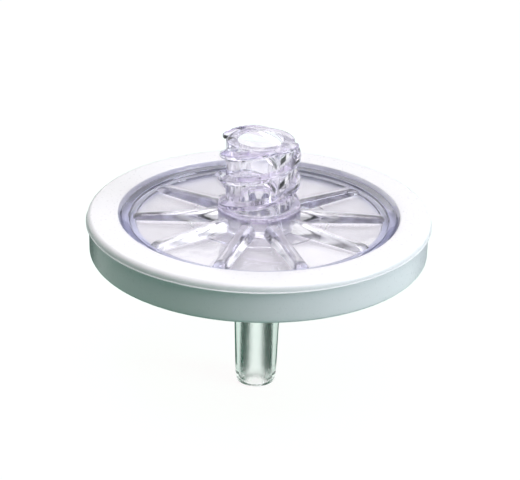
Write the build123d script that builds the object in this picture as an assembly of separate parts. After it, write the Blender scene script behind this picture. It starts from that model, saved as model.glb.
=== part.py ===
from build123d import *
import os

# A disposable syringe filter, standing on its outlet. Sizes are in millimetres.
# The axis of the filter is Z, and Z = 0 is the tip of the outlet.
# Four moulded or cut pieces: a white ring, two clear housings and the membrane between them.

# ---- driving dimensions ----

# Whole filter
body_diameter = 33.0
body_height = 3.8
inlet_reach = 7.3
outlet_reach = 14.5

# White ring, moulded over the rims of both housings
ring_wall = 1.2
ring_width = 3.05
ring_cover = 0.85
ring_round = 0.45
ring_foot_round = 0.3
lip_height = 0.76
lip_overhang = 0.28

# Sunken face of each housing: how far in from the ring, and how deep, each edge of its border is
border_edges = [(0, 0.08), (0.25, 0.22), (0.95, 0.58), (1.1, 0.72), (1.7, 0.85)]

# Radial ribs on each face, which widen and rise towards the hub
rib_count = 10
rib_outer_width = 1.6
rib_outer_height = 0.5
rib_inner_width = 1.9
rib_inner_height = 1.0
rib_draft_width = 0.35
rib_round = 0.3
rib_end = 0.25

# Chamber between the housings, and the membrane clamped around its edge
membrane_thickness = 0.15
seal_margin = 1.4
clamp_width = 1.3
chamber_height = 0.4
port_radius = 1.1

# Female Luer lock inlet
luer_taper = 0.06
hub_wall = 1.1
hub_round = 0.15
socket_mouth_radius = 2.15
port_length = 1.3
collar_step = 0.15
collar_rise = 0.75
collar_round = 0.2
collar_fillet = 0.25

# Double start lug thread on the inlet
thread_height = 0.6
thread_lead = 5.0
thread_starts = 2
thread_root_width = 1.05
thread_crest_width = 0.35
thread_start_height = 0.1
thread_start_azimuth = 135.0
thread_bite = 0.2
tongue_thickness = 0.35
tongue_arc = 52.0
tongue_round = 0.45

# Male Luer slip outlet
tip_radius = 2.0
tip_round = 0.35
outlet_bore_radius = 1.0
outlet_fillet = 0.5
boss_wall = 1.55
boss_drop = 1.3
boss_round = 0.2

# Drainage grooves under the membrane
groove_width = 0.8
groove_depth = 0.4
groove_pitch = 1.6

# ---- levels and radii that follow ----

body_radius = body_diameter / 2
ring_bottom = outlet_reach
ring_top = ring_bottom + body_height
seam = (ring_bottom + ring_top) / 2
inlet_top = ring_top + inlet_reach

window_radius = body_radius - ring_width
flange_radius = body_radius - ring_wall
face_radius = window_radius - border_edges[-1][0]
membrane_radius = flange_radius - seal_margin
chamber_radius = membrane_radius - clamp_width

face_top = ring_top - border_edges[-1][1]
face_bottom = ring_bottom + border_edges[-1][1]
support_level = seam - membrane_thickness

chamber_top = seam + chamber_height
boss_level = face_bottom - boss_drop

hub_radius = socket_mouth_radius + hub_wall
crest_radius = hub_radius + thread_height
collar_radius = crest_radius + collar_step
socket_floor = chamber_top + port_length
socket_floor_radius = socket_mouth_radius - (inlet_top - socket_floor) * luer_taper / 2


def lathe(outline):
    """Turn a closed outline of (radius, height, corner round) around the axis."""
    points = [(radius, height) for radius, height, corner in outline]
    rounds = [corner for radius, height, corner in outline]
    wire = FilletPolyline(*points, radius=rounds, close=True)
    return revolve(Plane.XZ * make_face(wire), Axis.Z)


def border(edge_level, inward):
    """Stepped slope from the ring's window in to the sunken face."""
    return [(window_radius - inset, edge_level + inward * depth, 0) for inset, depth in border_edges]


def overmoulded_ring():
    """C section that grips the two flanges, with a lip around its top edge."""
    band_radius = body_radius - lip_overhang
    lip_bottom = ring_top - lip_height
    return lathe([
        (window_radius, ring_top, 0),
        (body_radius, ring_top, ring_round),
        (body_radius, lip_bottom, 0),
        (band_radius, lip_bottom, 0),
        (band_radius, ring_bottom, ring_foot_round),
        (window_radius, ring_bottom, 0),
        (window_radius, ring_bottom + ring_cover, 0),
        (flange_radius, ring_bottom + ring_cover, 0),
        (flange_radius, ring_top - ring_cover, 0),
        (window_radius, ring_top - ring_cover, 0),
    ])


def rib_section(radius, width, height, level, up):
    """Round-shouldered, drafted cross section of a rib, at one distance from the axis."""
    crown = width / 2 - rib_draft_width
    root = level - up * rib_outer_height / 2
    outline = FilletPolyline(
        (-width / 2, root),
        (-width / 2, level),
        (-crown, level + up * height),
        (crown, level + up * height),
        (width / 2, level),
        (width / 2, root),
        radius=[0, 0, rib_round, rib_round, 0, 0],
        close=True,
    )
    return Plane.YZ.offset(radius) * make_face(outline)


def ribs(level, up, inner_radius):
    """Bars on one face, from inside its collar out to its border. up is 1 on top, -1 underneath."""
    inner = rib_section(inner_radius, rib_inner_width, rib_inner_height, level, up)
    outer = rib_section(face_radius + rib_end, rib_outer_width, rib_outer_height, level, up)
    bar = loft([inner, outer])
    return [Rot(0, 0, 360 * k / rib_count) * bar for k in range(rib_count)]


def thread():
    """Trapezoid ridges on the hub, rising right-handed from inside the collar."""
    start_level = ring_top + thread_start_height
    rise = inlet_top + thread_root_width - start_level
    base = hub_radius - thread_bite
    spread = thread_bite * (thread_root_width - thread_crest_width) / thread_height
    half_base = (thread_root_width + spread) / 2
    half_crest = thread_crest_width / 2
    section = Plane.XZ * make_face(Polyline(
        (base, -half_base),
        (crest_radius, -half_crest),
        (crest_radius, half_crest),
        (base, half_base),
        close=True,
    ))
    ridge = sweep(section, path=Helix(thread_lead, rise, hub_radius), is_frenet=True)
    below_rim = Pos(0, 0, inlet_top) * Cylinder(
        body_radius, inlet_top, align=(Align.CENTER, Align.CENTER, Align.MAX)
    )
    ridges = []
    for k in range(thread_starts):
        azimuth = thread_start_azimuth + 360 * k / thread_starts
        ridges.append((Pos(0, 0, start_level) * Rot(0, 0, azimuth) * ridge) & below_rim)
        rim_azimuth = azimuth + 360 * (inlet_top - start_level) / thread_lead
        ridges.append(Rot(0, 0, rim_azimuth) * tongue())
    return ridges


def tongue():
    """Flat, blunt end of a ridge, along the rim past where the ridge runs out through it."""
    base = hub_radius - thread_bite
    middle = Pos((base + crest_radius) / 2, inlet_top - tongue_thickness / 2)
    section = Plane.XZ * middle * Rectangle(crest_radius - base, tongue_thickness)
    arc = revolve(section, Axis.Z, revolution_arc=tongue_arc)
    end_corner = arc.edges().filter_by(Axis.Z).sort_by(lambda edge: edge.center().Y)[-1]
    return fillet(end_corner, tongue_round)


def inlet_housing():
    """Clear upper housing: flange, sunken ribbed face, collar, threaded hub and socket."""
    collar_top = ring_top + collar_rise
    body = lathe([
        (0, inlet_top, 0),
        (hub_radius, inlet_top, hub_round),
        (hub_radius, collar_top, 0),
        (collar_radius, collar_top, collar_round),
        (collar_radius, face_top, collar_fillet),
        *reversed(border(ring_top, -1)),
        (window_radius, ring_top - ring_cover, 0),
        (flange_radius, ring_top - ring_cover, 0),
        (flange_radius, seam, 0),
        (chamber_radius, seam, 0),
        (chamber_radius, chamber_top, 0),
        (0, chamber_top, 0),
    ])
    for rib in ribs(face_top, 1, hub_radius):
        body += rib
    for ridge in thread():
        body += ridge
    socket = lathe([
        (0, inlet_top, 0),
        (socket_mouth_radius, inlet_top, 0),
        (socket_floor_radius, socket_floor, 0),
        (port_radius, socket_floor, 0),
        (port_radius, seam, 0),
        (0, seam, 0),
    ])
    return body - socket


def membrane():
    """Thin porous disc, clamped between the housings around its edge."""
    disc = Cylinder(membrane_radius, membrane_thickness)
    return Pos(0, 0, seam - membrane_thickness / 2) * disc


def drain_grooves():
    """Rings and spokes cut into the support face, leading to the outlet's bore."""
    floor = support_level - groove_depth
    cuts = []
    radius = outlet_bore_radius + groove_pitch
    while radius + groove_width < chamber_radius:
        cuts.append(lathe([
            (radius, support_level, 0),
            (radius + groove_width, support_level, 0),
            (radius + groove_width, floor, 0),
            (radius, floor, 0),
        ]))
        radius += groove_pitch
    spoke_length = radius - groove_pitch + groove_width / 2
    spoke = Pos(spoke_length / 2, 0, floor + groove_depth / 2) * Box(
        spoke_length, groove_width, groove_depth
    )
    for k in range(rib_count):
        cuts.append(Rot(0, 0, 360 * k / rib_count) * spoke)
    return cuts


def outlet_housing():
    """Clear lower housing: flange, drained support face, ribs, boss and tapered outlet."""
    root_radius = tip_radius + boss_level * luer_taper / 2
    boss_radius = root_radius + boss_wall
    body = lathe([
        (0, 0, 0),
        (tip_radius, 0, tip_round),
        (root_radius, boss_level, outlet_fillet),
        (boss_radius, boss_level, boss_round),
        (boss_radius, face_bottom, collar_fillet),
        *reversed(border(ring_bottom, 1)),
        (window_radius, ring_bottom + ring_cover, 0),
        (flange_radius, ring_bottom + ring_cover, 0),
        (flange_radius, seam, 0),
        (membrane_radius, seam, 0),
        (membrane_radius, support_level, 0),
        (0, support_level, 0),
    ])
    for rib in ribs(face_bottom, -1, root_radius):
        body += rib
    for cut in drain_grooves():
        body -= cut
    bore = Cylinder(outlet_bore_radius, support_level, align=(Align.CENTER, Align.CENTER, Align.MIN))
    return body - bore


os.makedirs("parts", exist_ok=True)
pieces = {
    "overmoulded_ring": overmoulded_ring(),
    "inlet_housing": inlet_housing(),
    "membrane": membrane(),
    "outlet_housing": outlet_housing(),
}
for name, piece in pieces.items():
    export_step(piece, f"parts/{name}.step")
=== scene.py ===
import bmesh
import bpy
import math
from mathutils import Matrix, Vector


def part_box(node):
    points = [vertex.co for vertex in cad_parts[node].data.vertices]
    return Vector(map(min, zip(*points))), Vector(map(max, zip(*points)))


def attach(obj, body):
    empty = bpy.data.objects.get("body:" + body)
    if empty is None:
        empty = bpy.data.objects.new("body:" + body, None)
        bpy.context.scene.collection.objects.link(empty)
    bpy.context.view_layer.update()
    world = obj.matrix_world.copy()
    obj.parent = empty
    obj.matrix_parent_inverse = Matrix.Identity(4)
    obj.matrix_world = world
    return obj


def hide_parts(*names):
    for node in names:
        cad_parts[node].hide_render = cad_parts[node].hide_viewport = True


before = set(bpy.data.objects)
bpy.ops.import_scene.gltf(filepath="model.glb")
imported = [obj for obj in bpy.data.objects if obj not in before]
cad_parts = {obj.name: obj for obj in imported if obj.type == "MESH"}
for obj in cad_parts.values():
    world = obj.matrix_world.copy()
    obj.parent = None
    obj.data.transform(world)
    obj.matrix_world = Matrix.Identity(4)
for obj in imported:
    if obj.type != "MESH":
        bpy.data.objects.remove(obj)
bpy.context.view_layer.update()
mm = 0.001  # every size table below is in millimetres, every angle in degrees


def fromFrame(node):
    low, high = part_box(node)
    return [round(value / mm, 2) for value in low], [round(value / mm, 2) for value in high]


ringLow, ringHigh = fromFrame("overmoulded_ring")
inletHigh = fromFrame("inlet_housing")[1]
membraneLow, membraneHigh = fromFrame("membrane")
bodyRadius, ringBottom, ringTop = ringHigh[0], ringLow[2], ringHigh[2]
flangeRadius, inletTop = inletHigh[0], inletHigh[2]
membraneRadius, membraneBottom, seam = membraneHigh[0], membraneLow[2], membraneHigh[2]
print("frame loaded: rim", 2 * bodyRadius, "mm across,", inletTop, "mm tall")

whole = {
    "airGap": 0.012,        # pieces that only touch don't share a surface
    "bond": 0.012,          # pieces moulded onto each other run into each other by this
    "segments": 240,        # steps round the axis
    "cornerSteps": 5,       # steps round each small corner
    "sharpAngle": 34.0,     # edges steeper than this stay crisp
    "flatWeight": 60,       # how much a face's size counts for its shading
    "weld": 0.0001,         # points nearer than this are one
    "cutWeld": 0.0002,      # the same after pieces were joined or cut
    "coneTaper": 0.06,      # what a fitting's cone loses in width for its length
    "innerRound": 0.1,      # small corners inside the mouldings
}


def linear(hexColour):
    # sRGB hex to the linear values that shaders and lamps take
    parts = [int(hexColour[i:i + 2], 16) / 255 for i in (0, 2, 4)]
    return [p / 12.92 if p <= 0.04045 else ((p + 0.055) / 1.055) ** 2.4 for p in parts] + [1.0]


def addNode(tree, kind, settings):
    node = tree.nodes.new(kind)
    for key, value in settings.items():
        if isinstance(value, bpy.types.NodeSocket):
            tree.links.new(value, node.inputs[key])
        elif isinstance(key, str) and hasattr(node, key):
            setattr(node, key, value)
        else:
            node.inputs[key].default_value = value
    return node


def roundedOutline(corners):
    # each corner is (radius, height, round), the round drawn as an arc
    steps = whole["cornerSteps"]
    points = []
    for i, (radius, height, corner) in enumerate(corners):
        here = Vector((radius, height))
        if corner == 0:
            points.append(here)
            continue
        before = (Vector(corners[i - 1][:2]) - here).normalized()
        after = (Vector(corners[(i + 1) % len(corners)][:2]) - here).normalized()
        halfTurn = before.angle(after) / 2
        centre = here + (before + after).normalized() * corner / math.sin(halfTurn)
        start = here + before * corner / math.tan(halfTurn) - centre
        end = here + after * corner / math.tan(halfTurn) - centre
        points += [
            centre + start.slerp(end, step / steps).normalized() * corner for step in range(steps + 1)
        ]
    return points


def lathe(name, corners, materials):
    # turns a closed outline round the axis
    outline = roundedOutline(corners)
    shell = bmesh.new()
    columns = []
    for k in range(whole["segments"]):
        turn = 2 * math.pi * k / whole["segments"]
        columns.append([
            shell.verts.new((r * math.cos(turn) * mm, r * math.sin(turn) * mm, z * mm))
            for r, z in outline
        ])
    for k, column in enumerate(columns):
        beside = columns[(k + 1) % len(columns)]
        for i in range(len(outline)):
            j = (i + 1) % len(outline)
            shell.faces.new((column[i], beside[i], beside[j], column[j]))
    bmesh.ops.remove_doubles(shell, verts=shell.verts, dist=whole["weld"] * mm)
    bmesh.ops.recalc_face_normals(shell, faces=shell.faces)
    return newPiece(name, shell, materials)


def newPiece(name, shell, materials):
    mesh = bpy.data.meshes.new(name)
    shell.to_mesh(mesh)
    shell.free()
    for material in materials:
        mesh.materials.append(material)
    piece = bpy.data.objects.new(name, mesh)
    bpy.context.scene.collection.objects.link(piece)
    return piece


def settle(piece):
    # the piece's live modifiers become its plain mesh
    graph = bpy.context.evaluated_depsgraph_get()
    mesh = bpy.data.meshes.new_from_object(piece.evaluated_get(graph), depsgraph=graph)
    piece.modifiers.clear()
    piece.data = mesh
    mesh.name = piece.name
    return piece


def combine(piece, others, operation="UNION"):
    for other in others:
        step = piece.modifiers.new(other.name, "BOOLEAN")
        step.operation = operation
        step.object = other
        step.solver = "EXACT"
        step.use_self = True
    settle(piece)
    for other in others:
        bpy.data.objects.remove(other)
    return piece


def smooth(piece):
    # curved walls shade smoothly, real corners stay crisp and flat faces stay flat
    shell = bmesh.new()
    shell.from_mesh(piece.data)
    bmesh.ops.remove_doubles(shell, verts=shell.verts, dist=whole["cutWeld"] * mm)
    bmesh.ops.dissolve_degenerate(shell, edges=shell.edges, dist=whole["weld"] * mm)
    for face in shell.faces:
        face.smooth = True
    for edge in shell.edges:
        edge.smooth = edge.calc_face_angle(0) < math.radians(whole["sharpAngle"])
    shell.to_mesh(piece.data)
    shell.free()
    weights = piece.modifiers.new("flatFaces", "WEIGHTED_NORMAL")
    weights.keep_sharp = True
    weights.weight = whole["flatWeight"]
    return settle(piece)


def growOn(name, tree, sizes, materials):
    # runs a node tree with its named inputs and keeps the result as a mesh
    piece = newPiece(name, bmesh.new(), materials)
    step = piece.modifiers.new(name, "NODES")
    step.node_group = tree
    for item in tree.interface.items_tree:
        if item.item_type == "SOCKET" and item.in_out == "INPUT" and item.name in sizes:
            step[item.identifier] = sizes[item.name]
    settle(piece)
    shell = bmesh.new()
    shell.from_mesh(piece.data)
    bmesh.ops.remove_doubles(shell, verts=shell.verts, dist=whole["weld"] * mm)
    bmesh.ops.recalc_face_normals(shell, faces=shell.faces)
    shell.to_mesh(piece.data)
    shell.free()
    return piece


def newTree(name, inputs):
    tree = bpy.data.node_groups.new(name, "GeometryNodeTree")
    for label, kind in inputs.items():
        tree.interface.new_socket(label, in_out="INPUT", socket_type=kind)
    tree.interface.new_socket("Geometry", in_out="OUTPUT", socket_type="NodeSocketGeometry")
    return tree, addNode(tree, "NodeGroupInput", {}).outputs


# how finely the repeated bars and ridges are divided, and how far their rounded ends are carried
bars = {"edgeSteps": 5, "sectionSteps": 44, "lengthSteps": 26, "endReach": 0.97}
windings = {"edgeSteps": 4, "stepsPerRadian": 30.0, "endReach": 0.75}


def radialBarTree():
    # drafted bars round the axis, such as ribs: the section is swept up Z, then laid along a radius
    number = "NodeSocketFloat"
    tree, given = newTree("radialBars", {
        "Count": "NodeSocketInt", "Inner Radius": number, "Outer Radius": number,
        "Foot Width": number, "Crown Width": number, "Height": number, "Sunk": number,
        "Outer Width Share": number, "Outer Height Share": number, "Edge Round": number,
        "Camber": number, "End Round": number, "Level": number, "Side": number,
        "Material": "NodeSocketMaterial",
    })
    tall = addNode(tree, "ShaderNodeMath", {
        "operation": "ADD", 0: given["Height"], 1: given["Sunk"],
    })
    section = addNode(tree, "GeometryNodeCurvePrimitiveQuadrilateral", {
        "mode": "TRAPEZOID", "Height": tall.outputs[0], "Bottom Width": given["Foot Width"],
        "Top Width": given["Crown Width"], "Offset": 0.0,
    })
    where = addNode(tree, "ShaderNodeSeparateXYZ", {
        0: addNode(tree, "GeometryNodeInputPosition", {}).outputs[0],
    })
    onCrown = addNode(tree, "ShaderNodeMath", {
        "operation": "GREATER_THAN", 0: where.outputs["Y"], 1: 0.0,
    })
    cornerSize = addNode(tree, "ShaderNodeMath", {
        "operation": "MULTIPLY", 0: onCrown.outputs[0], 1: given["Edge Round"],
    })
    softSection = addNode(tree, "GeometryNodeFilletCurve", {
        "Curve": section.outputs[0], "mode": "POLY", "Count": bars["edgeSteps"],
        "Radius": cornerSize.outputs[0], "Limit Radius": True,
    })
    evenSection = addNode(tree, "GeometryNodeResampleCurve", {
        "Curve": softSection.outputs[0], "Count": bars["sectionSteps"],
    })
    length = addNode(tree, "ShaderNodeMath", {
        "operation": "SUBTRACT", 0: given["Outer Radius"], 1: given["Inner Radius"],
    })
    farEnd = addNode(tree, "ShaderNodeCombineXYZ", {"Z": length.outputs[0]})
    path = addNode(tree, "GeometryNodeCurvePrimitiveLine", {"End": farEnd.outputs[0]})
    evenPath = addNode(tree, "GeometryNodeResampleCurve", {
        "Curve": path.outputs[0], "Count": bars["lengthSteps"],
    })
    bar = addNode(tree, "GeometryNodeCurveToMesh", {
        "Curve": evenPath.outputs[0], "Profile Curve": evenSection.outputs[0], "Fill Caps": True,
    })
    along = addNode(tree, "ShaderNodeMath", {
        "operation": "DIVIDE", 0: where.outputs["Z"], 1: length.outputs[0],
    })
    widthShare = addNode(tree, "ShaderNodeMapRange", {
        "Value": along.outputs[0], "To Min": 1.0, "To Max": given["Outer Width Share"],
    })
    heightShare = addNode(tree, "ShaderNodeMapRange", {
        "Value": along.outputs[0], "To Min": 1.0, "To Max": given["Outer Height Share"],
    })
    halfTall = addNode(tree, "ShaderNodeMath", {
        "operation": "MULTIPLY", 0: tall.outputs[0], 1: 0.5,
    })
    footDrop = addNode(tree, "ShaderNodeMath", {
        "operation": "SUBTRACT", 0: halfTall.outputs[0], 1: given["Sunk"],
    })
    aboveFace = addNode(tree, "ShaderNodeMath", {
        "operation": "ADD", 0: where.outputs["Y"], 1: footDrop.outputs[0],
    })
    # the crown bulges by the camber: a parabola that is 1 in its middle and 0 at both edges
    acrossCrown = addNode(tree, "ShaderNodeMath", {
        "operation": "DIVIDE", 0: where.outputs["X"], 1: given["Crown Width"],
    })
    acrossSquared = addNode(tree, "ShaderNodeMath", {
        "operation": "MULTIPLY", 0: acrossCrown.outputs[0], 1: acrossCrown.outputs[0],
    })
    bulgeShare = addNode(tree, "ShaderNodeMath", {
        "operation": "MULTIPLY_ADD", 0: acrossSquared.outputs[0], 1: -4.0, 2: 1.0, "use_clamp": True,
    })
    crownShare = addNode(tree, "ShaderNodeMath", {
        "operation": "MULTIPLY", 0: bulgeShare.outputs[0], 1: onCrown.outputs[0],
    })
    bulged = addNode(tree, "ShaderNodeMath", {
        "operation": "MULTIPLY_ADD", 0: crownShare.outputs[0], 1: given["Camber"],
        2: aboveFace.outputs[0],
    })
    # the outer end rounds down instead of stopping square
    left = addNode(tree, "ShaderNodeMath", {
        "operation": "SUBTRACT", 0: length.outputs[0], 1: where.outputs["Z"],
    })
    shareLeft = addNode(tree, "ShaderNodeMapRange", {
        "Value": left.outputs[0], "From Max": given["End Round"],
        "To Min": bars["endReach"], "To Max": 0.0,
    })
    squared = addNode(tree, "ShaderNodeMath", {"operation": "POWER", 0: shareLeft.outputs[0], 1: 2.0})
    kept = addNode(tree, "ShaderNodeMath", {"operation": "SUBTRACT", 0: 1.0, 1: squared.outputs[0]})
    endShare = addNode(tree, "ShaderNodeMath", {"operation": "SQRT", 0: kept.outputs[0]})
    endHeight = addNode(tree, "ShaderNodeMath", {
        "operation": "MULTIPLY", 0: heightShare.outputs[0], 1: endShare.outputs[0],
    })
    scaledHeight = addNode(tree, "ShaderNodeMath", {
        "operation": "MULTIPLY", 0: bulged.outputs[0], 1: endHeight.outputs[0],
    })
    sidedHeight = addNode(tree, "ShaderNodeMath", {
        "operation": "MULTIPLY", 0: scaledHeight.outputs[0], 1: given["Side"],
    })
    laid = addNode(tree, "ShaderNodeCombineXYZ", {
        "X": addNode(tree, "ShaderNodeMath", {
            "operation": "ADD", 0: where.outputs["Z"], 1: given["Inner Radius"],
        }).outputs[0],
        "Y": addNode(tree, "ShaderNodeMath", {
            "operation": "MULTIPLY", 0: where.outputs["X"], 1: widthShare.outputs[0],
        }).outputs[0],
        "Z": addNode(tree, "ShaderNodeMath", {
            "operation": "ADD", 0: sidedHeight.outputs[0], 1: given["Level"],
        }).outputs[0],
    })
    laidBar = addNode(tree, "GeometryNodeSetPosition", {
        "Geometry": bar.outputs[0], "Position": laid.outputs[0],
    })
    return spread(tree, given, laidBar)


def ridgeTree():
    # a bar that winds round the axis: the section is swept up Z, then wrapped on by angle and rise
    number = "NodeSocketFloat"
    tree, given = newTree("woundRidges", {
        "Count": "NodeSocketInt", "Base Radius": number, "Height": number,
        "Foot Width": number, "Crown Width": number, "Edge Round": number,
        "Start Angle": number, "Turn": number, "Rise": number, "Level": number,
        "Blunt End": number, "Material": "NodeSocketMaterial",
    })
    section = addNode(tree, "GeometryNodeCurvePrimitiveQuadrilateral", {
        "mode": "TRAPEZOID", "Height": given["Height"], "Bottom Width": given["Foot Width"],
        "Top Width": given["Crown Width"], "Offset": 0.0,
    })
    where = addNode(tree, "ShaderNodeSeparateXYZ", {
        0: addNode(tree, "GeometryNodeInputPosition", {}).outputs[0],
    })
    onCrown = addNode(tree, "ShaderNodeMath", {
        "operation": "GREATER_THAN", 0: where.outputs["Y"], 1: 0.0,
    })
    cornerSize = addNode(tree, "ShaderNodeMath", {
        "operation": "MULTIPLY", 0: onCrown.outputs[0], 1: given["Edge Round"],
    })
    softSection = addNode(tree, "GeometryNodeFilletCurve", {
        "Curve": section.outputs[0], "mode": "POLY", "Count": windings["edgeSteps"],
        "Radius": cornerSize.outputs[0], "Limit Radius": True,
    })
    path = addNode(tree, "GeometryNodeCurvePrimitiveLine", {"End": (0.0, 0.0, 1.0)})
    steps = addNode(tree, "ShaderNodeMath", {
        "operation": "MULTIPLY", 0: given["Turn"], 1: windings["stepsPerRadian"],
    })
    evenPath = addNode(tree, "GeometryNodeResampleCurve", {
        "Curve": path.outputs[0], "Count": steps.outputs[0],
    })
    bar = addNode(tree, "GeometryNodeCurveToMesh", {
        "Curve": evenPath.outputs[0], "Profile Curve": softSection.outputs[0], "Fill Caps": True,
    })
    angle = addNode(tree, "ShaderNodeMath", {
        "operation": "MULTIPLY_ADD", 0: where.outputs["Z"], 1: given["Turn"], 2: given["Start Angle"],
    })
    # towards a blunt end the ridge shrinks back as a quarter round
    left = addNode(tree, "ShaderNodeMath", {
        "operation": "SUBTRACT", 0: 1.0, 1: where.outputs["Z"],
    })
    arcLeft = addNode(tree, "ShaderNodeMath", {
        "operation": "MULTIPLY", 0: left.outputs[0], 1: given["Turn"],
    })
    lengthLeft = addNode(tree, "ShaderNodeMath", {
        "operation": "MULTIPLY", 0: arcLeft.outputs[0], 1: given["Base Radius"],
    })
    shareLeft = addNode(tree, "ShaderNodeMapRange", {
        "Value": lengthLeft.outputs[0], "From Max": given["Blunt End"],
        "To Min": windings["endReach"], "To Max": 0.0,
    })
    squared = addNode(tree, "ShaderNodeMath", {"operation": "POWER", 0: shareLeft.outputs[0], 1: 2.0})
    kept = addNode(tree, "ShaderNodeMath", {"operation": "SUBTRACT", 0: 1.0, 1: squared.outputs[0]})
    bluntShare = addNode(tree, "ShaderNodeMath", {"operation": "SQRT", 0: kept.outputs[0]})
    outward = addNode(tree, "ShaderNodeMath", {
        "operation": "MULTIPLY_ADD", 0: given["Height"], 1: 0.5, 2: where.outputs["Y"],
    })
    radius = addNode(tree, "ShaderNodeMath", {
        "operation": "MULTIPLY_ADD", 0: outward.outputs[0], 1: bluntShare.outputs[0],
        2: given["Base Radius"],
    })
    height = addNode(tree, "ShaderNodeMath", {
        "operation": "MULTIPLY_ADD", 0: where.outputs["Z"], 1: given["Rise"], 2: where.outputs["X"],
    })
    cosine = addNode(tree, "ShaderNodeMath", {"operation": "COSINE", 0: angle.outputs[0]})
    sine = addNode(tree, "ShaderNodeMath", {"operation": "SINE", 0: angle.outputs[0]})
    wound = addNode(tree, "ShaderNodeCombineXYZ", {
        "X": addNode(tree, "ShaderNodeMath", {
            "operation": "MULTIPLY", 0: radius.outputs[0], 1: cosine.outputs[0],
        }).outputs[0],
        "Y": addNode(tree, "ShaderNodeMath", {
            "operation": "MULTIPLY", 0: radius.outputs[0], 1: sine.outputs[0],
        }).outputs[0],
        "Z": addNode(tree, "ShaderNodeMath", {
            "operation": "ADD", 0: height.outputs[0], 1: given["Level"],
        }).outputs[0],
    })
    woundBar = addNode(tree, "GeometryNodeSetPosition", {
        "Geometry": bar.outputs[0], "Position": wound.outputs[0],
    })
    return spread(tree, given, woundBar)


def spread(tree, given, bar):
    # one bar becomes an even ring of them
    spots = addNode(tree, "GeometryNodePoints", {"Count": given["Count"]})
    order = addNode(tree, "GeometryNodeInputIndex", {})
    share = addNode(tree, "ShaderNodeMath", {
        "operation": "DIVIDE", 0: order.outputs[0], 1: given["Count"],
    })
    turn = addNode(tree, "ShaderNodeMath", {
        "operation": "MULTIPLY", 0: share.outputs[0], 1: 2 * math.pi,
    })
    facing = addNode(tree, "ShaderNodeCombineXYZ", {"Z": turn.outputs[0]})
    ring = addNode(tree, "GeometryNodeInstanceOnPoints", {
        "Points": spots.outputs[0], "Instance": bar.outputs[0], "Rotation": facing.outputs[0],
    })
    real = addNode(tree, "GeometryNodeRealizeInstances", {"Geometry": ring.outputs[0]})
    finished = addNode(tree, "GeometryNodeSetMaterial", {
        "Geometry": real.outputs[0], "Material": given["Material"],
    })
    addNode(tree, "NodeGroupOutput", {"Geometry": finished.outputs[0]})
    return tree


grainRange = {"From Min": 0.3, "From Max": 0.7}  # where nearly all of a noise pattern's values lie


def newMaterial(name):
    material = bpy.data.materials.new(name)
    material.use_nodes = True
    material.node_tree.nodes.clear()
    return material, material.node_tree


def whitePolypropylene(look):
    # white moulded polypropylene: milky, a soft sheen, light sinks in a little at the edges
    material, tree = newMaterial("white moulded polypropylene")
    place = addNode(tree, "ShaderNodeTexCoord", {})
    flow = addNode(tree, "ShaderNodeTexNoise", {
        "Vector": place.outputs["Object"], "Scale": 1 / (look["flowSize"] * mm), "Detail": 2.0,
    })
    grain = addNode(tree, "ShaderNodeTexNoise", {
        "Vector": place.outputs["Object"], "Scale": 1 / (look["grainSize"] * mm), "Detail": 3.0,
    })
    tone = addNode(tree, "ShaderNodeMix", {
        "data_type": "RGBA", 0: flow.outputs[0],
        6: linear(look["colour"]), 7: linear(look["shadeColour"]),
    })
    sheen = addNode(tree, "ShaderNodeMapRange", {
        "Value": grain.outputs[0], **grainRange,
        "To Min": look["smoothest"], "To Max": look["roughest"],
    })
    skin = addNode(tree, "ShaderNodeBump", {
        "Height": grain.outputs[0], "Strength": look["grainStrength"],
        "Distance": look["grainDepth"] * mm,
    })
    surface = addNode(tree, "ShaderNodeBsdfPrincipled", {
        "Base Color": tone.outputs[2], "Roughness": sheen.outputs[0], "IOR": look["ior"],
        "Subsurface Weight": look["milkiness"], "Subsurface Radius": look["glowReach"],
        "Subsurface Scale": look["glowDepth"] * mm, "Normal": skin.outputs[0],
    })
    addNode(tree, "ShaderNodeOutputMaterial", {"Surface": surface.outputs[0]})
    return material


def fromAxis(tree, place):
    flat = addNode(tree, "ShaderNodeVectorMath", {"operation": "MULTIPLY", 0: place, 1: (1, 1, 0)})
    radius = addNode(tree, "ShaderNodeVectorMath", {"operation": "LENGTH", 0: flat.outputs[0]})
    return radius.outputs["Value"]


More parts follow.
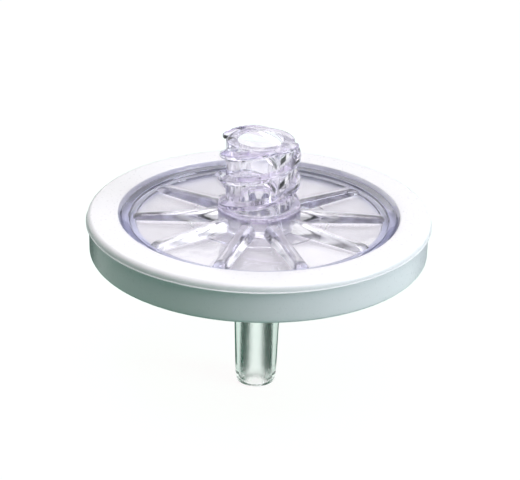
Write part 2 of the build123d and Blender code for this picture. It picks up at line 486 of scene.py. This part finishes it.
def clearCopolymer(name, look, texturedZone):
    # clear moulded styrene-methacrylate with a faint toner: its colour gathers where light runs far
    # inside it. The toner colour set per housing is also painted light: lavender light on the upper
    # housing, green shade on the lower one
    material, tree = newMaterial(name)
    place = addNode(tree, "ShaderNodeTexCoord", {}).outputs["Object"]
    flow = addNode(tree, "ShaderNodeTexNoise", {
        "Vector": place, "Scale": 1 / (look["flowSize"] * mm), "Detail": 1.0,
    })
    grain = addNode(tree, "ShaderNodeTexNoise", {
        "Vector": place, "Scale": 1 / (look["grainSize"] * mm), "Detail": 2.0,
    })
    polish = addNode(tree, "ShaderNodeMapRange", {
        "Value": grain.outputs[0], **grainRange,
        "To Min": look["smoothest"], "To Max": look["roughest"],
    })
    textured = texturedZone(tree, place)
    roughness = addNode(tree, "ShaderNodeMix", {
        "data_type": "FLOAT", 0: textured, 2: polish.outputs[0], 3: look["texturedRoughness"],
    })
    flowSkin = addNode(tree, "ShaderNodeBump", {
        "Height": flow.outputs[0], "Strength": look["flowStrength"], "Distance": look["flowDepth"] * mm,
    })
    grainDepth = addNode(tree, "ShaderNodeMix", {
        "data_type": "FLOAT", 0: textured, 2: look["grainStrength"], 3: look["texturedStrength"],
    })
    skin = addNode(tree, "ShaderNodeBump", {
        "Height": grain.outputs[0], "Strength": grainDepth.outputs[0],
        "Distance": look["grainDepth"] * mm, "Normal": flowSkin.outputs[0],
    })
    across = fromAxis(tree, place)
    # painted shade on the surface: one tint out at the rim, another on the hub's outer wall above a set
    # height, fainter round a middle height
    rim = addNode(tree, "ShaderNodeMapRange", {
        "Value": across, "From Min": look["rimFrom"] * mm,
        "From Max": (look["rimFrom"] + toneFade["rim"]) * mm,
    })
    outsideHub = addNode(tree, "ShaderNodeMapRange", {
        "Value": across, "From Min": look["hubFrom"] * mm,
        "From Max": (look["hubFrom"] + toneFade["hub"]) * mm,
    })
    insideFoot = addNode(tree, "ShaderNodeMapRange", {
        "Value": across, "From Min": look["hubTo"] * mm,
        "From Max": (look["hubTo"] + toneFade["hub"]) * mm, "To Min": 1.0, "To Max": 0.0,
    })
    split = addNode(tree, "ShaderNodeSeparateXYZ", {0: place})
    fromMiddle = addNode(tree, "ShaderNodeMath", {
        "operation": "SUBTRACT", 0: split.outputs["Z"], 1: look["clearMiddle"] * mm,
    })
    awayFromMiddle = addNode(tree, "ShaderNodeMath", {
        "operation": "ABSOLUTE", 0: fromMiddle.outputs[0],
    })
    endShare = addNode(tree, "ShaderNodeMapRange", {
        "Value": awayFromMiddle.outputs[0], "From Min": toneFade["middleFrom"] * mm,
        "From Max": toneFade["middleTo"] * mm, "To Min": look["middleShare"], "To Max": 1.0,
    })
    aboveFoot = addNode(tree, "ShaderNodeMath", {
        "operation": "GREATER_THAN", 0: split.outputs["Z"], 1: look["tintAbove"] * mm,
    })
    hubWall = addNode(tree, "ShaderNodeMath", {
        "operation": "MULTIPLY", 0: outsideHub.outputs[0], 1: insideFoot.outputs[0],
    })
    shadedHubWall = addNode(tree, "ShaderNodeMath", {
        "operation": "MULTIPLY", 0: hubWall.outputs[0], 1: aboveFoot.outputs[0],
    })
    paintedHubShade = addNode(tree, "ShaderNodeMath", {
        "operation": "MULTIPLY", 0: shadedHubWall.outputs[0], 1: endShare.outputs[0],
    })
    paintedRimShade = addNode(tree, "ShaderNodeMix", {
        "data_type": "RGBA", 0: rim.outputs[0],
        6: linear(look["surfaceColour"]), 7: linear(look["rimPaintedShadeColour"]),
    })
    tone = addNode(tree, "ShaderNodeMix", {
        "data_type": "RGBA", 0: paintedHubShade.outputs[0],
        6: paintedRimShade.outputs[2], 7: linear(look["hubPaintedShadeColour"]),
    })
    surface = addNode(tree, "ShaderNodeBsdfPrincipled", {
        "Base Color": tone.outputs[2], "Roughness": roughness.outputs[0], "IOR": look["ior"],
        "Transmission Weight": 1.0, "Normal": skin.outputs[0],
    })
    inside = addNode(tree, "ShaderNodeVolumeAbsorption", {
        "Color": linear(look["tonerAndPaintedLightColour"]), "Density": look["tonerPerMm"] / mm,
    })
    addNode(tree, "ShaderNodeOutputMaterial", {
        "Surface": surface.outputs[0], "Volume": inside.outputs[0],
    })
    return material


def below(height, core, coreFade, outerShare):
    # the whole underside is a little matt, its core under the hub much more so
    def zone(tree, place):
        split = addNode(tree, "ShaderNodeSeparateXYZ", {0: place})
        under = addNode(tree, "ShaderNodeMath", {
            "operation": "LESS_THAN", 0: split.outputs["Z"], 1: height * mm,
        })
        share = addNode(tree, "ShaderNodeMapRange", {
            "Value": fromAxis(tree, place), "From Min": core * mm,
            "From Max": (core + coreFade) * mm, "To Min": 1.0, "To Max": outerShare,
        })
        return addNode(tree, "ShaderNodeMath", {
            "operation": "MULTIPLY", 0: under.outputs[0], 1: share.outputs[0],
        }).outputs[0]
    return zone


def within(radius):
    # only the bore's own wall is matt
    def zone(tree, place):
        return addNode(tree, "ShaderNodeMath", {
            "operation": "LESS_THAN", 0: fromAxis(tree, place), 1: radius * mm,
        }).outputs[0]
    return zone


def porousMembrane(look):
    # cast porous polymer sheet: dead matt and faintly cloudy; its pores are drawn coarse enough to show
    material, tree = newMaterial("porous polyethersulfone sheet")
    place = addNode(tree, "ShaderNodeTexCoord", {})
    pores = addNode(tree, "ShaderNodeTexNoise", {
        "Vector": place.outputs["Object"], "Scale": 1 / (look["poreSize"] * mm), "Detail": 4.0,
    })
    clouds = addNode(tree, "ShaderNodeTexNoise", {
        "Vector": place.outputs["Object"], "Scale": 1 / (look["cloudSize"] * mm), "Detail": 2.0,
    })
    tone = addNode(tree, "ShaderNodeMix", {
        "data_type": "RGBA", 0: clouds.outputs[0],
        6: linear(look["colour"]), 7: linear(look["shadeColour"]),
    })
    skin = addNode(tree, "ShaderNodeBump", {
        "Height": pores.outputs[0], "Strength": look["poreStrength"],
        "Distance": look["poreDepth"] * mm,
    })
    surface = addNode(tree, "ShaderNodeBsdfPrincipled", {
        "Base Color": tone.outputs[2], "Roughness": look["roughness"],
        "Specular IOR Level": look["gloss"], "Normal": skin.outputs[0],
    })
    addNode(tree, "ShaderNodeOutputMaterial", {"Surface": surface.outputs[0]})
    return material


ringLook = {
    "colour": "FCF7FC", "shadeColour": "F7F3F8", "smoothest": 0.26, "roughest": 0.36, "ior": 1.49,
    "milkiness": 0.6, "glowDepth": 1.0, "glowReach": (1.0, 0.97, 0.97),
    "flowSize": 6.0, "grainSize": 0.25, "grainStrength": 0.12, "grainDepth": 0.02,
}
# how far the painted shade zones of a clear housing fade, and how far its clearer middle reaches up and
# down
toneFade = {"rim": 0.3, "hub": 0.2, "middleFrom": 1.2, "middleTo": 2.6}
# the toner colour is a faint real toner with painted lavender light in it; the rim and hub colours are
# painted shade
inletLook = {
    "surfaceColour": "FFFFFF", "tonerAndPaintedLightColour": "C0B8F6", "tonerPerMm": 0.025,
    "smoothest": 0.018, "roughest": 0.042, "ior": 1.54,
    "flowSize": 2.4, "flowStrength": 0.10, "flowDepth": 0.08,
    "grainSize": 0.2, "grainStrength": 0.03, "grainDepth": 0.01,
    "texturedBelow": 16.82, "texturedCore": 3.6, "texturedCoreFade": 1.0, "texturedOuterShare": 0.4,
    "texturedRoughness": 0.32, "texturedStrength": 0.2,
    "rimFrom": 11.6, "rimPaintedShadeColour": "ECEFFF",
    "hubFrom": 3.3, "hubTo": 4.2, "hubPaintedShadeColour": "F3EAFF", "clearMiddle": 22.8, "middleShare": 0.3,
    "tintAbove": 18.6,
}
# the toner colour is a faint real toner with painted green shade in it; the rim and hub colours are
# painted shade
outletLook = {
    "surfaceColour": "FFFFFF", "tonerAndPaintedLightColour": "A8DCC8", "tonerPerMm": 0.12,
    "smoothest": 0.024, "roughest": 0.056, "ior": 1.54,
    "flowSize": 2.4, "flowStrength": 0.10, "flowDepth": 0.08,
    "grainSize": 0.1, "grainStrength": 0.06, "grainDepth": 0.045,
    "texturedWithin": 1.05, "texturedRoughness": 0.12, "texturedStrength": 1.0,
    "rimFrom": 11.6, "rimPaintedShadeColour": "EEF5F2",
    "hubFrom": 2.5, "hubTo": 4.2, "hubPaintedShadeColour": "F2FAF6", "clearMiddle": 8.0, "middleShare": 0.3,
    "tintAbove": 0.5,
}
membraneLook = {
    "colour": "F6F5F8", "shadeColour": "E4E3EC", "roughness": 0.9, "gloss": 0.3,
    "poreSize": 0.12, "poreStrength": 0.4, "poreDepth": 0.03, "cloudSize": 3.0,
}
ringWhite = whitePolypropylene(ringLook)
# the upper housing carries painted lavender light and the lower one painted green shade, over a faint
# real toner
inletClear = clearCopolymer(
    "clear copolymer with toner and painted lavender light", inletLook,
    below(inletLook["texturedBelow"], inletLook["texturedCore"], inletLook["texturedCoreFade"],
          inletLook["texturedOuterShare"]),
)
outletClear = clearCopolymer(
    "clear copolymer with toner and painted green shade", outletLook, within(outletLook["texturedWithin"]),
)
membraneWhite = porousMembrane(membraneLook)
print("materials ready")

ring = {
    "width": 3.05, "cover": 0.85, "edgeRound": 0.45, "footRound": 0.3, "windowRound": 0.1,
    "lipHeight": 0.76, "lipOverhang": 0.28, "lipFootRound": 0.04,
    # the parting line left by the mould, along the lip's foot
    "ledgeWidth": 0.1, "ledgeHeight": 0.07, "ledgeRound": 0.02,
}
windowRadius = bodyRadius - ring["width"]


def makeRing():
    bandRadius = bodyRadius - ring["lipOverhang"]
    lipBottom = ringTop - ring["lipHeight"]
    innerTop = ringTop - ring["cover"]
    innerBottom = ringBottom + ring["cover"]
    return smooth(lathe("overmouldedRing", [
        (windowRadius, ringTop, ring["windowRound"]),
        (bodyRadius - ring["ledgeWidth"], ringTop, ring["edgeRound"]),
        (bodyRadius - ring["ledgeWidth"], lipBottom + 2 * ring["ledgeHeight"], ring["ledgeRound"]),
        (bodyRadius, lipBottom + ring["ledgeHeight"], ring["ledgeRound"]),
        (bodyRadius, lipBottom, ring["lipFootRound"]),
        (bandRadius, lipBottom, ring["lipFootRound"]),
        (bandRadius, ringBottom, ring["footRound"]),
        (windowRadius, ringBottom, ring["windowRound"]),
        (windowRadius, innerBottom, 0),
        (flangeRadius, innerBottom, 0),
        (flangeRadius, innerTop, 0),
        (windowRadius, innerTop, 0),
    ], [ringWhite]))


# (in from the window, down from the ring's face, round) of each edge of the housings' sunken border
borderEdges = [
    (0.0, 0.08, 0), (0.34, 0.24, 0.03), (0.38, 0.34, 0.03), (0.95, 0.50, 0.03), (1.03, 0.50, 0.02),
    (1.12, 0.68, 0.03), (1.58, 0.74, 0.03), (1.64, 0.74, 0.02), (1.7, 0.85, 0.03),
]
ribs = {
    "count": 10, "innerWidth": 1.9, "outerWidth": 1.6, "innerHeight": 1.0, "outerHeight": 0.5,
    "draft": 0.35, "round": 0.48, "camber": 0.05, "endRound": 0.9,
    "sunk": 0.3, "pastFace": 0.3, "intoHub": 0.3,  # how far a rib runs into what it stands on and meets
}
inlet = {
    "hubRadius": 3.25, "rimRound": 0.15, "mouthRadius": 2.15, "mouthRound": 0.12,
    "socketDepth": 7.5, "portRadius": 1.1, "chamberDrop": 1.3, "chamberRadius": 12.6,
    "collarStep": 0.15, "collarRise": 0.75, "collarRound": 0.2, "footFillet": 0.5,
    # the round line left by the mould's insert
    "witnessRadius": 6.65, "witnessWidth": 0.12, "witnessRise": 0.05,
}
threads = {
    "starts": 2, "lead": 5.0, "height": 0.6, "rootWidth": 1.05, "crestWidth": 0.35, "crestRound": 0.14,
    "bite": 0.2, "startAngle": 135.0, "startHeight": 0.1,
    "endRound": 0.001, "belowRim": 0.01,  # the ridges stop square, cut off just under the rim
    "tongueThickness": 0.35, "tongueArc": 52.0, "tongueEnd": 0.5, "tongueRound": 0.1,
    "tongueBelowRim": 0.005,
}
outlet = {
    "tipRadius": 2.0, "tipRound": 0.35, "boreRadius": 1.0, "boreRound": 0.12, "rootFillet": 0.5,
    "bossWall": 1.55, "bossDrop": 1.3, "bossRound": 0.2, "bossFillet": 0.25,
    "drainMargin": 0.6, "drainRound": 0.05,  # the open ring round the bore, under the membrane
    "grooveWidth": 0.8, "grooveDepth": 0.4, "groovePitch": 1.6, "grooveCount": 6,
    # the grooves that lead inwards: cut past the support face, a hair shallower, square at the end
    "spokeBite": 0.2, "spokeLift": 0.002, "spokeEndRound": 0.0001,
}
faceRadius = windowRadius - borderEdges[-1][0]
faceDrop = borderEdges[-1][1]
crestRadius = inlet["hubRadius"] + threads["height"]
radialBars = radialBarTree()
woundRidges = ridgeTree()


def border(ringFace, inward):
    # the steps from the ring's window down to the face, as an outline
    edges = [
        (windowRadius - inset, ringFace + inward * drop, corner) for inset, drop, corner in borderEdges
    ]
    return [(windowRadius + whole["bond"], edges[0][1], 0)] + edges[1:]


def growRibs(name, innerRadius, level, side, material):
    slope = ribs["draft"] / ribs["innerHeight"]
    return growOn(name, radialBars, {
        "Count": ribs["count"], "Inner Radius": innerRadius * mm,
        "Outer Radius": (faceRadius + ribs["pastFace"]) * mm,
        "Foot Width": (ribs["innerWidth"] + 2 * slope * ribs["sunk"]) * mm,
        "Crown Width": (ribs["innerWidth"] - 2 * ribs["draft"]) * mm,
        "Height": ribs["innerHeight"] * mm, "Sunk": ribs["sunk"] * mm,
        "Outer Width Share": ribs["outerWidth"] / ribs["innerWidth"],
        "Outer Height Share": ribs["outerHeight"] / ribs["innerHeight"],
        "Edge Round": ribs["round"] * mm, "Camber": ribs["camber"] * mm,
        "End Round": ribs["endRound"] * mm, "Level": level * mm, "Side": side, "Material": material,
    }, [material])


def growThread():
    startLevel = ringTop + threads["startHeight"]
    rise = inletTop + threads["rootWidth"] - startLevel
    slope = (threads["rootWidth"] - threads["crestWidth"]) / threads["height"]
    ridges = growOn("threadRidges", woundRidges, {
        "Count": threads["starts"], "Base Radius": (inlet["hubRadius"] - threads["bite"]) * mm,
        "Height": (threads["height"] + threads["bite"]) * mm,
        "Foot Width": (threads["rootWidth"] + slope * threads["bite"]) * mm,
        "Crown Width": threads["crestWidth"] * mm, "Edge Round": threads["crestRound"] * mm,
        "Start Angle": math.radians(threads["startAngle"]), "Turn": 2 * math.pi * rise / threads["lead"],
        "Rise": rise * mm, "Level": startLevel * mm, "Blunt End": threads["endRound"] * mm,
        "Material": inletClear,
    }, [inletClear])
    shell = bmesh.new()
    shell.from_mesh(ridges.data)
    cut = bmesh.ops.bisect_plane(
        shell, geom=shell.verts[:] + shell.edges[:] + shell.faces[:], plane_no=(0, 0, 1),
        plane_co=(0, 0, (inletTop - threads["belowRim"]) * mm), clear_outer=True,
    )
    openEdges = [edge for edge in cut["geom_cut"] if isinstance(edge, bmesh.types.BMEdge)]
    bmesh.ops.holes_fill(shell, edges=openEdges)
    bmesh.ops.recalc_face_normals(shell, faces=shell.faces)
    shell.to_mesh(ridges.data)
    shell.free()
    # each ridge runs out in a thin tongue along the rim, from the angle where it gets there
    rimAngle = threads["startAngle"] + 360 * (inletTop - startLevel) / threads["lead"]
    tongues = growOn("threadTongues", woundRidges, {
        "Count": threads["starts"], "Base Radius": (inlet["hubRadius"] - threads["bite"]) * mm,
        "Height": (threads["height"] + threads["bite"]) * mm,
        "Foot Width": threads["tongueThickness"] * mm, "Crown Width": threads["tongueThickness"] * mm,
        "Edge Round": threads["tongueRound"] * mm, "Start Angle": math.radians(rimAngle),
        "Turn": math.radians(threads["tongueArc"]), "Rise": 0.0,
        "Level": (inletTop - threads["tongueBelowRim"] - threads["tongueThickness"] / 2) * mm,
        "Blunt End": threads["tongueEnd"] * mm, "Material": inletClear,
    }, [inletClear])
    return [ridges, tongues]


def makeInlet():
    gap, bond, innerRound = whole["airGap"], whole["bond"], whole["innerRound"]
    faceTop = ringTop - faceDrop
    collarTop = ringTop + inlet["collarRise"]
    collarRadius = crestRadius + inlet["collarStep"]
    floor = inletTop - inlet["socketDepth"]
    floorRadius = inlet["mouthRadius"] - inlet["socketDepth"] * whole["coneTaper"] / 2
    innerTop = ringTop - ring["cover"] + bond
    chamberTop = floor - inlet["chamberDrop"]
    body = lathe("inletHousing", [
        (inlet["portRadius"], chamberTop, innerRound),
        (inlet["portRadius"], floor, innerRound),
        (floorRadius, floor, innerRound),
        (inlet["mouthRadius"], inletTop, inlet["mouthRound"]),
        (inlet["hubRadius"], inletTop, inlet["rimRound"]),
        (inlet["hubRadius"], collarTop, innerRound),
        (collarRadius, collarTop, inlet["collarRound"]),
        (collarRadius, faceTop, inlet["footFillet"]),
        (inlet["witnessRadius"] - inlet["witnessWidth"] / 2, faceTop, 0),
        (inlet["witnessRadius"], faceTop + inlet["witnessRise"], 0),
        (inlet["witnessRadius"] + inlet["witnessWidth"] / 2, faceTop, 0),
        *reversed(border(ringTop, -1)),
        (windowRadius + bond, innerTop, 0),
        (flangeRadius + bond, innerTop, 0),
        (flangeRadius + bond, seam + gap, 0),
        (inlet["chamberRadius"], seam + gap, 0),
        (inlet["chamberRadius"], chamberTop, innerRound),
    ], [inletClear])
    inletRibs = growRibs("inletRibs", inlet["hubRadius"] - ribs["intoHub"], faceTop, 1.0, inletClear)
    return smooth(combine(body, [inletRibs] + growThread()))


def makeOutlet():
    gap, bond = whole["airGap"], whole["bond"]
    faceBottom = ringBottom + faceDrop
    bossLevel = faceBottom - outlet["bossDrop"]
    rootRadius = outlet["tipRadius"] + bossLevel * whole["coneTaper"] / 2
    bossRadius = rootRadius + outlet["bossWall"]
    support = membraneBottom - gap
    grooveFloor = support - outlet["grooveDepth"]
    drain = outlet["boreRadius"] + outlet["drainMargin"]
    grid = [
        (outlet["boreRadius"], grooveFloor, outlet["drainRound"]),
        (drain, grooveFloor, 0), (drain, support, 0),
    ]
    for k in range(outlet["grooveCount"]):
        start = outlet["boreRadius"] + outlet["groovePitch"] * (k + 1)
        end = start + outlet["grooveWidth"]
        grid += [
            (start, support, 0), (start, grooveFloor, 0), (end, grooveFloor, 0), (end, support, 0),
        ]
    innerBottom = ringBottom + ring["cover"] - bond
    body = lathe("outletHousing", [
        (outlet["boreRadius"], 0, outlet["boreRound"]),
        *grid,
        (membraneRadius + gap, support, 0),
        (membraneRadius + gap, seam, 0),
        (flangeRadius + bond, seam, 0),
        (flangeRadius + bond, innerBottom, 0),
        (windowRadius + bond, innerBottom, 0),
        *border(ringBottom, 1),
        (bossRadius, faceBottom, outlet["bossFillet"]),
        (bossRadius, bossLevel, outlet["bossRound"]),
        (rootRadius, bossLevel, outlet["rootFillet"]),
        (outlet["tipRadius"], 0, outlet["tipRound"]),
    ], [outletClear])
    outletRibs = growRibs("outletRibs", rootRadius - ribs["intoHub"], faceBottom, -1.0, outletClear)
    combine(body, [outletRibs])
    spokes = growOn("drainSpokes", radialBars, {
        "Count": ribs["count"], "Inner Radius": (drain - outlet["spokeBite"]) * mm,
        "Outer Radius": (start + outlet["grooveWidth"] / 2) * mm,
        "Foot Width": outlet["grooveWidth"] * mm, "Crown Width": outlet["grooveWidth"] * mm,
        "Height": (outlet["grooveDepth"] + outlet["spokeBite"]) * mm, "Sunk": 0.0,
        "Outer Width Share": 1.0, "Outer Height Share": 1.0, "Edge Round": 0.0, "Camber": 0.0,
        "End Round": outlet["spokeEndRound"] * mm,
        "Level": (grooveFloor + outlet["spokeLift"]) * mm, "Side": 1.0, "Material": outletClear,
    }, [outletClear])
    return smooth(combine(body, [spokes], "DIFFERENCE"))


sheet = {"edgeRound": 0.03}


def makeMembrane():
    gap = whole["airGap"]
    return smooth(lathe("membraneSheet", [
        (0, membraneBottom, 0),
        (membraneRadius - gap, membraneBottom, sheet["edgeRound"]),
        (membraneRadius - gap, seam - gap, sheet["edgeRound"]),
        (0, seam - gap, 0),
    ], [membraneWhite]))


for maker, node, slot in (
    (makeRing, "overmoulded_ring", "white_plastic"),
    (makeInlet, "inlet_housing", "clear_plastic"),
    (makeOutlet, "outlet_housing", "clear_plastic"),
    (makeMembrane, "membrane", "membrane_sheet"),
):
    piece = maker()
    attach(piece, "root")
    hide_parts(node)
    print(piece.name, len(piece.data.polygons), "faces")

studio = {
    "floorSize": 3.0, "floorColour": "3C7562", "floorShown": 0.97, "floorShownColour": "FFFAFB",
    "skyHorizon": 0.09, "skyTop": 0.57, "skyRight": 0.18, "skyBack": 0.10, "skyDarkest": 0.04,
    "horizonColour": "C8FFEA", "topColour": "FFFBFF",
    "topSoftbox": {"place": (0.03, -0.09, 0.41), "size": 0.28, "power": 0.95, "colour": "FFF8FC"},
    "backSoftbox": {"place": (-0.05, 0.32, 0.30), "size": 0.24, "power": 0.24, "colour": "FFFFFF"},
    "sideSoftbox": {"place": (0.41, -0.15, 0.14), "size": 0.24, "power": 1.3, "colour": "F0F2FF"},
    "clearBounces": 24, "plainBounces": 8,  # how often light may turn in clear and in plain parts
}
# dark curved cards that only gloss and clear parts see: they draw the dark lines along clear edges
flags = {
    "frontFlag": {"distance": 350, "from": 245, "to": 295, "bottom": 0, "top": 400, "colour": "0C1A17"},
    "leftFlag": {"distance": 250, "from": 160, "to": 200, "bottom": 0, "top": 120, "colour": "0C1A17"},
    "rightFlag": {"distance": 250, "from": -15, "to": 25, "bottom": 0, "top": 120, "colour": "0C1A17"},
    "backFlag": {"distance": 300, "from": 50, "to": 130, "bottom": 20, "top": 110, "colour": "0C1A17"},
    "rimRightFlag": {"distance": 34, "from": 14, "to": 78, "bottom": 0.1, "top": 9, "colour": "0C1A17"},
    "rimLeftFlag": {"distance": 34, "from": 100, "to": 154, "bottom": 0.1, "top": 9, "colour": "0C1A17"},
    # the two stem cards stand in the shade under the disc: their green is painted shade, seen through
    # the stem
    "stemLeftFlag": {
        "distance": 3.2, "from": 121, "to": 213, "bottom": 0.1, "top": 13.5, "colour": "00785F",
    },
    "stemRightFlag": {
        "distance": 3.2, "from": -34, "to": 61, "bottom": 0.1, "top": 13.5, "colour": "00785F",
    },
}

cardSteps = 12  # flat strips in a curved card
middle = Vector((0, 0, ringTop * mm))  # what the lamps and the camera are turned to


def backdropShare(tree):
    # 1 where the eye sees the backdrop, straight or by way of gloss and clear parts
    ray = addNode(tree, "ShaderNodeLightPath", {}).outputs
    seen = addNode(tree, "ShaderNodeMath", {
        "operation": "MAXIMUM", 0: ray["Is Camera Ray"], 1: ray["Is Glossy Ray"],
    })
    return addNode(tree, "ShaderNodeMath", {
        "operation": "MAXIMUM", 0: seen.outputs[0], 1: ray["Is Transmission Ray"],
    }).outputs[0]


def makeFloor():
    # shown white to the eye yet a dull bounce light: the object's shadow stays on it
    material, tree = newMaterial("pale studio floor")
    strength = addNode(tree, "ShaderNodeMath", {
        "operation": "MULTIPLY", 0: backdropShare(tree), 1: studio["floorShown"],
    })
    matt = addNode(tree, "ShaderNodeBsdfDiffuse", {"Color": linear(studio["floorColour"])})
    glow = addNode(tree, "ShaderNodeEmission", {
        "Color": linear(studio["floorShownColour"]), "Strength": strength.outputs[0],
    })
    both = addNode(tree, "ShaderNodeAddShader", {0: matt.outputs[0], 1: glow.outputs[0]})
    addNode(tree, "ShaderNodeOutputMaterial", {"Surface": both.outputs[0]})
    half = studio["floorSize"] / 2
    shell = bmesh.new()
    corners = ((-half, -half, 0), (half, -half, 0), (half, half, 0), (-half, half, 0))
    shell.faces.new([shell.verts.new(corner) for corner in corners])
    newPiece("studioFloor", shell, [material])


def makeSky():
    # a soft room: brightest overhead, fuller on the right and behind, dim on the left
    world = bpy.data.worlds.new("studioSky")
    bpy.context.scene.world = world
    world.use_nodes = True
    tree = world.node_tree
    tree.nodes.clear()
    direction = addNode(tree, "ShaderNodeSeparateXYZ", {
        0: addNode(tree, "ShaderNodeTexCoord", {}).outputs["Generated"],
    })
    fromRight = addNode(tree, "ShaderNodeMath", {
        "operation": "MULTIPLY_ADD", 0: direction.outputs["X"], 1: studio["skyRight"],
        2: studio["skyHorizon"],
    })
    fromBack = addNode(tree, "ShaderNodeMath", {
        "operation": "MULTIPLY_ADD", 0: direction.outputs["Y"], 1: studio["skyBack"],
        2: fromRight.outputs[0],
    })
    fromTop = addNode(tree, "ShaderNodeMath", {
        "operation": "MULTIPLY_ADD", 0: direction.outputs["Z"],
        1: studio["skyTop"] - studio["skyHorizon"], 2: fromBack.outputs[0],
    })
    level = addNode(tree, "ShaderNodeMath", {
        "operation": "MAXIMUM", 0: fromTop.outputs[0], 1: studio["skyDarkest"],
    })
    seen = addNode(tree, "ShaderNodeMath", {
        "operation": "MAXIMUM", 0: level.outputs[0], 1: backdropShare(tree),
    })
    tint = addNode(tree, "ShaderNodeMix", {
        "data_type": "RGBA", 0: direction.outputs["Z"],
        6: linear(studio["horizonColour"]), 7: linear(studio["topColour"]),
    })
    whiteOrTint = addNode(tree, "ShaderNodeMix", {
        "data_type": "RGBA", 0: backdropShare(tree), 6: tint.outputs[2], 7: (1, 1, 1, 1),
    })
    light = addNode(tree, "ShaderNodeBackground", {
        "Color": whiteOrTint.outputs[2], "Strength": seen.outputs[0],
    })
    addNode(tree, "ShaderNodeOutputWorld", {"Surface": light.outputs[0]})


def addFlag(name, given):
    material, tree = newMaterial(name + " card")
    matt = addNode(tree, "ShaderNodeBsdfDiffuse", {"Color": linear(given["colour"])})
    addNode(tree, "ShaderNodeOutputMaterial", {"Surface": matt.outputs[0]})
    shell = bmesh.new()
    columns = []
    for k in range(cardSteps + 1):
        turn = math.radians(given["from"] + (given["to"] - given["from"]) * k / cardSteps)
        x, y = given["distance"] * math.cos(turn) * mm, given["distance"] * math.sin(turn) * mm
        columns.append([shell.verts.new((x, y, given[edge] * mm)) for edge in ("bottom", "top")])
    for left, right in zip(columns, columns[1:]):
        shell.faces.new((left[0], right[0], right[1], left[1]))
    card = newPiece(name, shell, [material])
    card.visible_camera = card.visible_diffuse = False
    card.visible_shadow = card.visible_volume_scatter = False


def addSoftbox(name, given):
    lamp = bpy.data.lights.new(name, "AREA")
    lamp.shape = "SQUARE"
    lamp.size = given["size"]
    lamp.energy = given["power"]
    lamp.color = linear(given["colour"])[:3]
    box = bpy.data.objects.new(name, lamp)
    place = Vector(given["place"])
    facing = (middle - place).to_track_quat("-Z", "Y").to_matrix().to_4x4()
    box.matrix_world = Matrix.Translation(place) @ facing
    bpy.context.scene.collection.objects.link(box)


shot = {
    "distance": 155.1, "elevation": 23.49, "azimuth": -1.2, "roll": 1.25, "pitch": -1.046, "yaw": -0.03,
    "lens": 112.3, "sensor": 36, "nearest": 10,
}


def placeCamera():
    data = bpy.data.cameras.new("camera")
    data.lens = shot["lens"]
    data.sensor_width = shot["sensor"]
    data.clip_start = shot["nearest"] * mm
    camera = bpy.data.objects.new("camera", data)
    elevation, azimuth = math.radians(shot["elevation"]), math.radians(shot["azimuth"])
    away = Matrix.Rotation(azimuth, 3, "Z") @ Vector((0, -math.cos(elevation), math.sin(elevation)))
    place = middle + away * shot["distance"] * mm
    facing = (middle - place).to_track_quat("-Z", "Y").to_matrix().to_4x4()
    turned = facing @ Matrix.Rotation(math.radians(shot["roll"]), 4, "Z")
    turned = turned @ Matrix.Rotation(math.radians(shot["pitch"]), 4, "X")
    turned = turned @ Matrix.Rotation(math.radians(shot["yaw"]), 4, "Y")
    camera.matrix_world = Matrix.Translation(place) @ turned
    bpy.context.scene.collection.objects.link(camera)
    bpy.context.scene.camera = camera


makeFloor()
makeSky()
for name, given in flags.items():
    addFlag(name, given)
for softbox in ("topSoftbox", "backSoftbox", "sideSoftbox"):
    addSoftbox(softbox, studio[softbox])
placeCamera()
bpy.context.scene.view_settings.view_transform = "Standard"
tracing = bpy.context.scene.cycles
tracing.max_bounces = tracing.transmission_bounces = studio["clearBounces"]
tracing.diffuse_bounces = tracing.glossy_bounces = studio["plainBounces"]
print("stage and camera ready")
